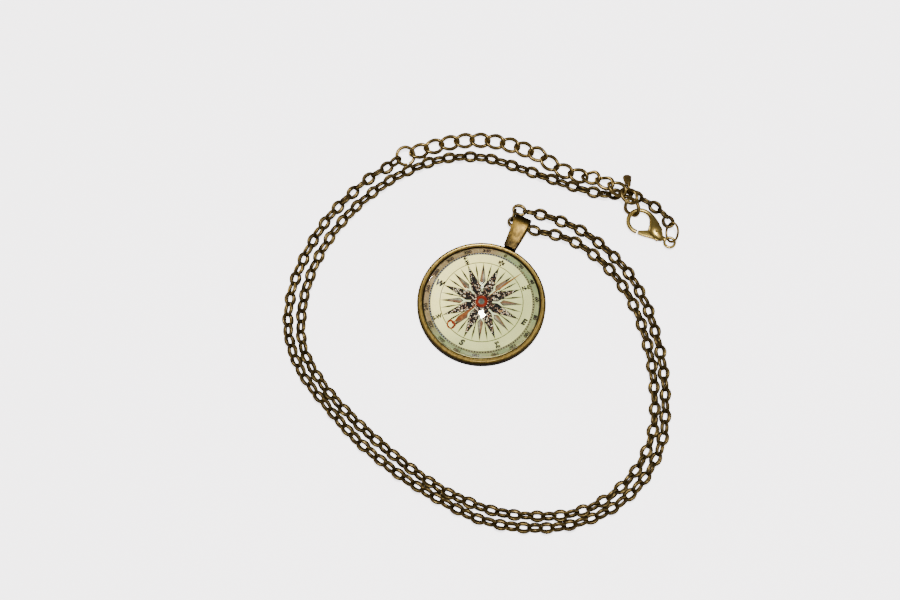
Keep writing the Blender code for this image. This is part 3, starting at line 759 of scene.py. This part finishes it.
def printRose():
    circle, step = dial["circle"], 45.0
    printPiece(ringBand(circle - 0.08, circle + 0.08, 0.0), "roseCircle", blackInk)
    between = [step / 4 + step / 2 * n for n in range(16)]
    rays = joinPieces([fan(kite(3.9, circle, 6.6, 0.19, 0.002), between),
                       fan(kite(3.4, circle + 0.05, 4.4, 0.09, 0.001), between)])
    printPiece(rays, "thinRays", blackInk)
    halves = [step / 2 + step * n for n in range(8)]
    printPiece(fan(kite(1.8, 4.7, 3.75, 0.52, 0.004), halves), "paleDiamonds", whiteInk)
    printPiece(fan(kite(3.6, circle, 4.35, 0.60, 0.007), halves), "halfPointEdges", blackInk)
    printPiece(fan(kite(3.85, circle, 4.35, 0.46, 0.010, -1), halves), "halfPointsBrown", brownInk)
    printPiece(fan(kite(3.85, circle, 4.35, 0.46, 0.010, 1), halves), "halfPointsGrey", greyInk)
    printPiece(fan(kite(6.4, circle, 6.8, 0.13, 0.018), halves), "halfPointTips", blackInk)
    mains = [step * n for n in range(8)]
    printPiece(fan(kite(0.4, circle, 3.0, 1.06, 0.014), mains), "starShadow", blackInk)
    printPiece(fan(kite(0.9, circle - 0.4, 3.05, 0.95, 0.022), mains), "starPoints", lacePrint)
    printPiece(ringBand(0.5, 2.15, 0.026, 64), "starHeart", lacePrint)


def printScale():
    ring = dial["scale"]
    ticks = fan(kite(ring - 0.24, ring + 0.24, ring, 0.16, 0.002), [3.0 * n for n in range(120)])
    lines = joinPieces([ticks, ringBand(ring + 0.15, ring + 0.25, 0.0), ringBand(ring - 0.25, ring - 0.15, 0.0)])
    printPiece(lines, "degreeScale", numberInk)
    numbers = [printText(str(n * 20), 1.1, dial["numbers"], n * 20.0, 0, 0.004) for n in range(18)]
    printPiece(joinPieces(numbers), "degreeNumbers", numberInk)


def printLetters():
    names = {90.0: "E", 180.0: "S", 270.0: "W"}
    letters = [printText(word, 1.75, dial["letters"], angle, angle, 0.004, 0.2) for angle, word in names.items()]
    sides = {45.0: ("N-E", -90), 135.0: ("S-E", -90), 225.0: ("S-W", 90), 315.0: ("N-W", 90)}
    for angle, (word, facing) in sides.items():
        letters.append(printText(word, 1.15, dial["letters"] + 0.1, angle, facing + 180, 0.004))
    printPiece(joinPieces(letters), "compassLetters", blackInk)


def printFleur():
    petals = []
    for angle, reach in ((0, 1.15), (50, 0.95), (-50, 0.95), (95, 0.75), (-95, 0.75), (180, 0.75)):
        petal = kite(0.05, reach, reach * 0.6, 0.26, 0.004)
        petal.data.transform(Matrix.Rotation(-radians(angle), 4, "Z"))
        petals.append(petal)
    fleur = joinPieces(petals)
    around = Matrix.Rotation(-radians(dial["turn"]), 4, "Z") @ Matrix.Translation((0, 9.35 * mm, 0))
    fleur.data.transform(around)
    printPiece(fleur, "northFleur", numberInk)


def printNeedle():
    pointer = 26.5  # clockwise from the bail
    front = fan(kite(0.8, 11.9, 6.0, 0.22, 0.046), [pointer])
    back = fan(kite(0.8, 7.3, 5.6, 0.5, 0.046), [pointer + 180])
    printPiece(joinPieces([front, back]), "needleBar", orangeInk)
    ring = ringBand(0.62, 0.95, 0.054, 40)
    ring.data.transform(Matrix.Rotation(-radians(pointer + 180 + dial["turn"]), 4, "Z")
                        @ Matrix.Translation((0, 7.9 * mm, 0)))
    fork = fan(kite(6.9, 7.6, 7.3, 1.0, 0.05), [pointer + 180])
    printPiece(joinPieces([ring, fork, ringBand(0.62, 1.2, 0.056, 48)]), "needleRed", redInk)
    printPiece(ringBand(0.02, 0.62, 0.06, 40), "needleHub", hubInk)


printRose()
printScale()
printLetters()
printFleur()
printNeedle()
print("dial printed")


# The bail: a strap folded over the chain

bail = {"eye": (19.95, 2.05), "inner": 1.45, "strap": 0.55, "root": 12.0, "droop": 12.0, "turn": 26.0}


def makeBail():
    outer = bail["inner"] + bail["strap"]
    start = radians(90 + bail["droop"])
    steps = [start + (-pi / 2 - start) * n / 24 for n in range(25)]
    eyeX, eyeZ = bail["eye"]
    out = [(eyeX + outer * cos(a), eyeZ + outer * sin(a)) for a in steps]
    into = [(eyeX + bail["inner"] * cos(a), eyeZ + bail["inner"] * sin(a)) for a in reversed(steps)]
    slope = sin(radians(bail["droop"])) / cos(radians(bail["droop"]))
    outline = [(bail["root"], out[0][1] - slope * (out[0][0] - bail["root"])), *out, (bail["root"], out[-1][1]),
               (bail["root"], into[0][1]), *into,
               (bail["root"], into[-1][1] - slope * (into[-1][0] - bail["root"]))]
    data = bpy.data.curves.new("bailSide", "CURVE")
    data.dimensions, data.fill_mode, data.extrude = "2D", "BOTH", 1.8 * mm
    spline = data.splines.new("POLY")
    spline.points.add(len(outline) - 1)
    for point, (reach, height) in zip(spline.points, outline):
        point.co = (reach * mm, height * mm, 0, 1)
    spline.use_cyclic_u = True
    strap = bpy.data.objects.new("bailSide", data)
    bpy.context.collection.objects.link(strap)
    strap = toMesh(strap)
    startEdit(strap)
    bpy.ops.mesh.select_all(action="SELECT")
    bpy.ops.mesh.remove_doubles(threshold=1e-7)
    for reach in (14.5, 15.5, 16.5, 17.5, 18.5, 19.5):
        bpy.ops.mesh.select_all(action="SELECT")
        bpy.ops.mesh.bisect(plane_co=(reach * mm, 0, 0), plane_no=(1, 0, 0))
    endEdit()
    soften = strap.modifiers.new("soften", "BEVEL")
    soften.width, soften.segments, soften.limit_method, soften.angle_limit = 0.12 * mm, 3, "ANGLE", radians(60)
    applyModifiers(strap)
    turn = radians(bail["turn"])
    along, across = Vector((sin(turn), cos(turn), 0)), Vector((cos(turn), -sin(turn), 0))
    for vert in strap.data.vertices:
        reach, height, side = vert.co
        spread = 0.72 + 0.24 * min(1.0, (reach / mm - 14.0) / 5.5)
        vert.co = along * reach + across * side * spread + Vector((0, 0, height))
    bpy.ops.mesh.primitive_cylinder_add(vertices=160, radius=14.03 * mm, depth=14 * mm)
    wall = bpy.context.object
    cut = strap.modifiers.new("cut", "BOOLEAN")
    cut.object, cut.operation = wall, "DIFFERENCE"
    applyModifiers(strap)
    deletePiece(wall)
    startEdit(strap)
    bpy.ops.mesh.select_all(action="SELECT")
    bpy.ops.mesh.normals_make_consistent(inside=False)
    endEdit()
    finishPiece(strap, "bailStrap", "pendant", bailMetal, ("bail",), 40)


makeBail()
print("bail made")


# The clasp, drawn flat about its eye and then laid in its place

clasp = {"eye": (41.5, 14.2, 1.2), "heading": 143.1, "flat": 0.86, "pivot": (3.6, 0.0), "pin": 0.28,
         "hook": (8.0, -0.25), "hookRadius": 2.68, "wire": 0.48, "eyeRadius": 1.14, "eyeWire": 0.31}


def layClasp(piece):
    piece.data.transform(poseMatrix(*clasp["eye"], 0, 0, clasp["heading"]))


def makeClaspBody():
    body = [(0.95, 0.0, 0.45), (1.6, 0.07, 0.55), (2.23, 0.2, 1.0), (3.3, 0.05, 1.48), (4.24, -0.5, 1.65),
            (5.12, -1.5, 1.22), (5.95, -2.22, 0.84), (6.8, -2.7, 0.6), (7.4, -2.87, 0.52)]
    hookX, hookY = clasp["hook"]
    sweep = [radians(-83 + 189 * n / 8) for n in range(9)]
    spine = body + [(hookX + clasp["hookRadius"] * cos(a), hookY + clasp["hookRadius"] * sin(a), clasp["wire"])
                    for a in sweep]
    fine = smoothRoute(spine, 0.22)
    data = bpy.data.curves.new("claspSpine", "CURVE")
    data.dimensions, data.bevel_depth, data.bevel_resolution, data.use_fill_caps = "3D", mm, 6, True
    spline = data.splines.new("POLY")
    spline.points.add(len(fine) - 1)
    for point, (x, y, radius) in zip(spline.points, fine):
        point.co = (x * mm, y * mm, 0, 1)
        point.radius = radius
    piece = bpy.data.objects.new("claspSpine", data)
    bpy.context.collection.objects.link(piece)
    piece = toMesh(piece)
    startEdit(piece)
    bpy.ops.mesh.select_all(action="SELECT")
    bpy.ops.mesh.remove_doubles(threshold=1e-7)
    endEdit()
    for vert in piece.data.vertices:  # the body is pressed flatter than the hook
        height = abs(vert.co.z)
        pressed = clasp["flat"] * min(height, 0.8 * mm) + 0.55 * max(0.0, height - 0.8 * mm)
        vert.co.z = pressed if vert.co.z > 0 else -pressed
    bpy.ops.mesh.primitive_torus_add(major_segments=56, minor_segments=16, major_radius=clasp["eyeRadius"] * mm,
                                     minor_radius=clasp["eyeWire"] * mm)
    eye = bpy.context.object
    bpy.ops.mesh.primitive_cube_add(size=1, location=(4.1 * mm, 0.55 * mm, 0),
                                    scale=(4.5 * mm, 3.3 * mm, 0.84 * mm))
    slot = bpy.context.object
    pivotX, pivotY = clasp["pivot"]
    bpy.ops.mesh.primitive_cylinder_add(vertices=32, radius=(clasp["pin"] + 0.01) * mm, depth=3.2 * mm,
                                        location=(pivotX * mm, pivotY * mm, 0))
    bore = bpy.context.object
    for tool, operation in ((eye, "UNION"), (slot, "DIFFERENCE"), (bore, "DIFFERENCE")):
        step = piece.modifiers.new(operation, "BOOLEAN")
        step.object, step.operation = tool, operation
    applyModifiers(piece)
    for tool in (eye, slot, bore):
        deletePiece(tool)
    soften = piece.modifiers.new("soften", "BEVEL")
    soften.width, soften.segments, soften.limit_method, soften.angle_limit = 0.03 * mm, 1, "ANGLE", radians(50)
    applyModifiers(piece)
    layClasp(piece)
    finishPiece(piece, "claspHook", "clasp", claspMetal, ("clasp_body",), 45)


def makeLever():
    gate = [(7.12, 1.95), (6.85, 2.55), (5.6, 2.25), (4.3, 1.75), (3.2, 1.4), (2.45, 1.4), (2.3, 1.05)]
    pivotX, pivotY = clasp["pivot"]
    hub = [(pivotX + 0.62 * cos(radians(a)), pivotY + 0.62 * sin(radians(a))) for a in range(165, 301, 15)]
    outline = gate + hub + [(4.6, -0.15), (5.3, 0.45), (6.3, 1.3)]
    data = bpy.data.curves.new("leverSide", "CURVE")
    data.dimensions, data.fill_mode, data.extrude = "2D", "BOTH", 0.36 * mm
    spline = data.splines.new("POLY")
    spline.points.add(len(outline) - 1)
    for point, (x, y) in zip(spline.points, outline):
        point.co = (x * mm, y * mm, 0, 1)
    spline.use_cyclic_u = True
    lever = bpy.data.objects.new("leverSide", data)
    bpy.context.collection.objects.link(lever)
    lever = toMesh(lever)
    startEdit(lever)
    bpy.ops.mesh.select_all(action="SELECT")
    bpy.ops.mesh.remove_doubles(threshold=1e-7)
    endEdit()
    soften = lever.modifiers.new("soften", "BEVEL")
    soften.width, soften.segments, soften.limit_method, soften.angle_limit = 0.16 * mm, 3, "ANGLE", radians(40)
    bpy.ops.mesh.primitive_cylinder_add(vertices=32, radius=0.32 * mm, depth=2 * mm,
                                        location=(pivotX * mm, pivotY * mm, 0))
    bore = bpy.context.object
    bpy.ops.mesh.primitive_cylinder_add(vertices=32, radius=0.52 * mm, depth=1.0 * mm,
                                        location=(pivotX * mm, pivotY * mm, 0.55 * mm))
    pocket = bpy.context.object
    for tool in (bore, pocket):
        step = lever.modifiers.new("cut", "BOOLEAN")
        step.object, step.operation = tool, "DIFFERENCE"
    applyModifiers(lever)
    for tool in (bore, pocket):
        deletePiece(tool)
    layClasp(lever)
    finishPiece(lever, "leverGate", "lever", claspMetal, ("clasp_lever",), 40)


def makePin():
    bpy.ops.mesh.primitive_cylinder_add(vertices=32, radius=clasp["pin"] * mm, depth=2.16 * mm,
                                        location=(clasp["pivot"][0] * mm, clasp["pivot"][1] * mm, 0))
    pin = bpy.context.object
    applyPlace(pin)
    soften = pin.modifiers.new("soften", "BEVEL")
    soften.width, soften.segments, soften.limit_method, soften.angle_limit = 0.08 * mm, 3, "ANGLE", radians(60)
    applyModifiers(pin)
    layClasp(pin)
    finishPiece(pin, "pivotPin", "clasp", claspMetal, ("lever_pin",), 40)


def makeSpring():
    turns, steps = 2, 28
    data = bpy.data.curves.new("springWire", "CURVE")
    data.dimensions, data.bevel_depth, data.bevel_resolution, data.use_fill_caps = "3D", 0.04 * mm, 2, True
    spline = data.splines.new("POLY")
    spline.points.add(turns * steps)
    for index, point in enumerate(spline.points):
        angle = 2 * pi * index / steps
        point.co = ((clasp["pivot"][0] + 0.41 * cos(angle)) * mm, (clasp["pivot"][1] + 0.41 * sin(angle)) * mm,
                    (0.12 + 0.2 * index / (turns * steps)) * mm, 1)
    spring = bpy.data.objects.new("springWire", data)
    bpy.context.collection.objects.link(spring)
    spring = toMesh(spring)
    startEdit(spring)
    bpy.ops.mesh.select_all(action="SELECT")
    bpy.ops.mesh.remove_doubles(threshold=1e-8)
    endEdit()
    layClasp(spring)
    finishPiece(spring, "torsionSpring", "clasp", springMetal, ("lever_spring",), 60)


makeClaspBody()
makeLever()
makePin()
makeSpring()
print("clasp made")


# The charm at the end of the extender

charm = {"ring": (32.75, 26.67, 2.83), "ringRadius": 1.0, "droop": 30.0, "thick": 0.4, "hole": 0.38}


def makeCharm():
    narrow = [(0.62 * cos(radians(a)), 0.62 * sin(radians(a))) for a in range(100, 261, 16)]
    wide = [(2.55 + cos(radians(a)), sin(radians(a))) for a in range(-80, 81, 10)]
    hole = [(charm["hole"] * cos(radians(a)), charm["hole"] * sin(radians(a))) for a in range(0, 360, 15)]
    data = bpy.data.curves.new("charmSide", "CURVE")
    data.dimensions, data.fill_mode, data.extrude = "2D", "BOTH", charm["thick"] / 2 * mm
    for outline in (narrow + wide, hole):
        spline = data.splines.new("POLY")
        spline.points.add(len(outline) - 1)
        for point, (x, y) in zip(spline.points, outline):
            point.co = (x * mm, y * mm, 0, 1)
        spline.use_cyclic_u = True
    drop = bpy.data.objects.new("charmSide", data)
    bpy.context.collection.objects.link(drop)
    drop = toMesh(drop)
    startEdit(drop)
    bpy.ops.mesh.select_all(action="SELECT")
    bpy.ops.mesh.remove_doubles(threshold=1e-7)
    endEdit()
    soften = drop.modifiers.new("soften", "BEVEL")
    soften.width, soften.segments, soften.limit_method, soften.angle_limit = 0.09 * mm, 2, "ANGLE", radians(50)
    applyModifiers(drop)
    x, y, z = charm["ring"]
    droop = radians(charm["droop"])
    drop.data.transform(poseMatrix(x, y + charm["ringRadius"] * cos(droop), z - charm["ringRadius"] * sin(droop),
                                   0, charm["droop"], 90))
    finishPiece(drop, "charmDrop", "charm", charmMetal, ("charm",), 40)


makeCharm()
print("charm made")


# Table and light

stage = {"world": 0.12, "glow": 3.0}


def makeFloor():
    bpy.ops.mesh.primitive_plane_add(size=3.0, location=(0, 0, 0))
    floor = bpy.context.object
    floor.name = "floor"
    material, tree, shader = newMaterial("tableWhite")
    place = addNode(tree, "ShaderNodeTexCoord").outputs["Object"]
    clouds = addNode(tree, "ShaderNodeTexNoise", Vector=place, Scale=9.0, Detail=2.0).outputs[0]
    colour = mixColour(tree, rampNode(tree, clouds, 0.3, 0.7), (0.90, 0.875, 0.90, 1.0), (0.92, 0.90, 0.90, 1.0))
    tree.links.new(colour, shader.inputs["Base Color"])
    shader.inputs["Roughness"].default_value = 0.8
    seen = addNode(tree, "ShaderNodeLightPath").outputs["Is Camera Ray"]
    shader.inputs["Emission Color"].default_value = (1.0, 0.96, 0.985, 1.0)
    tree.links.new(mathNode(tree, "MULTIPLY", seen, stage["glow"]), shader.inputs["Emission Strength"])
    floor.data.materials.append(material)


lamps = {
    "window": {"place": (0.012, -0.030, 0.6), "size": (0.07, 0.09), "power": 6.0, "colour": (1.0, 0.98, 0.96)},
    "softbox": {"place": (-1.3, 0.9, 0.11), "size": (0.7, 0.2), "power": 26.0, "colour": (1.0, 0.97, 0.93)},
    "fill": {"place": (1.4, -0.4, 0.18), "size": (0.6, 0.3), "power": 10.0, "colour": (0.97, 0.98, 1.0)},
    "glow": {"place": (0.396, 0.037, 0.918), "size": (0.05, 0.11), "power": 0.15, "colour": (1.0, 0.55, 0.2)},
}


def addLamp(name, place, size, power, colour):
    data = bpy.data.lights.new(name, "AREA")
    data.shape, data.size, data.size_y = "RECTANGLE", size[0], size[1]
    data.energy, data.color = power, colour
    lamp = bpy.data.objects.new(name, data)
    bpy.context.scene.collection.objects.link(lamp)
    lamp.location = place
    lamp.rotation_euler = (-Vector(place)).to_track_quat("-Z", "Y").to_euler()


def makeLight():
    world = bpy.data.worlds.new("studio")
    bpy.context.scene.world = world
    world.use_nodes = True
    world.node_tree.nodes["Background"].inputs[0].default_value = (0.97, 0.98, 1.0, 1.0)
    world.node_tree.nodes["Background"].inputs[1].default_value = stage["world"]
    for name, lamp in lamps.items():
        addLamp(name, **lamp)


makeFloor()
makeLight()
